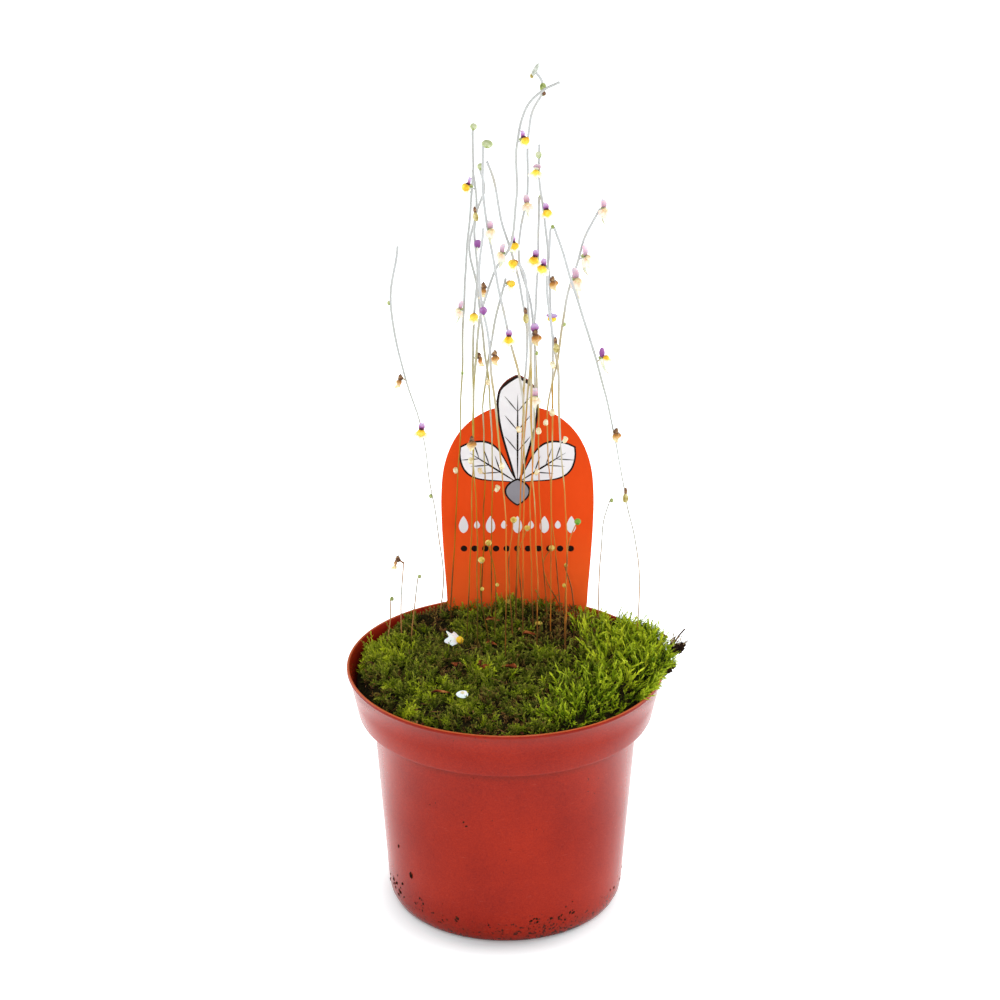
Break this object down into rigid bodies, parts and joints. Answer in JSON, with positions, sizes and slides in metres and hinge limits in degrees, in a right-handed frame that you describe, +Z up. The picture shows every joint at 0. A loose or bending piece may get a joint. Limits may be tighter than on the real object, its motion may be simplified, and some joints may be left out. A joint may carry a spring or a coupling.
{
  "type": "potted bladderwort",
  "caption": "Small bladderwort with tall thread-like flower scapes, growing through moss in a banded round plastic nursery pot with a plant tag.",
  "frame": {"origin": "centre of the pot's flat base, on the surface that the pot stands on", "axes": "+Z up along the pot's axis; -Y towards the front, from which the tag's printed face is seen; +X to the viewer's right"},
  "size_m": [0.0962, 0.09, 0.2413],
  "materials": {
    "pot_plastic": "glossy terracotta red",
    "peat": "moist peat, matt",
    "dark_moss": "soft moss, dark green and brown",
    "bright_moss": "soft moss, bright yellow-green",
    "tag_plastic": "satin orange-red sheet",
    "stem": "smooth grey-green stem",
    "young_stem": "smooth yellow-green stem",
    "petal": "thin white petal",
    "dry_leaf": "dry reddish-brown leaf"
  },
  "bodies": {
    "root": {"pot": "pot_plastic", "soil": "peat", "moss_carpet": "dark_moss", "moss_cushion": "bright_moss", "plant_tag": "tag_plastic", "scape_01": "stem", "scape_02": "stem", "scape_03": "stem", "scape_04": "stem", "scape_05": "stem", "scape_06": "stem", "scape_07": "stem", "scape_08": "stem", "scape_09": "stem", "scape_10": "stem", "scape_11": "stem", "scape_12": "stem", "scape_13": "stem", "scape_14": "stem", "scape_15": "stem", "scape_16": "stem", "scape_17": "stem", "sprout_01": "young_stem", "sprout_02": "young_stem", "sprout_03": "young_stem", "sprout_04": "young_stem", "sprout_05": "young_stem", "sprout_06": "young_stem", "sprout_07": "young_stem", "sprout_08": "young_stem", "sprout_09": "young_stem", "sprout_10": "young_stem", "sprout_11": "young_stem", "fallen_flower_1": "petal", "fallen_flower_2": "petal", "dry_leaf_1": "dry_leaf", "dry_leaf_2": "dry_leaf"}
  },
  "joints": []
}
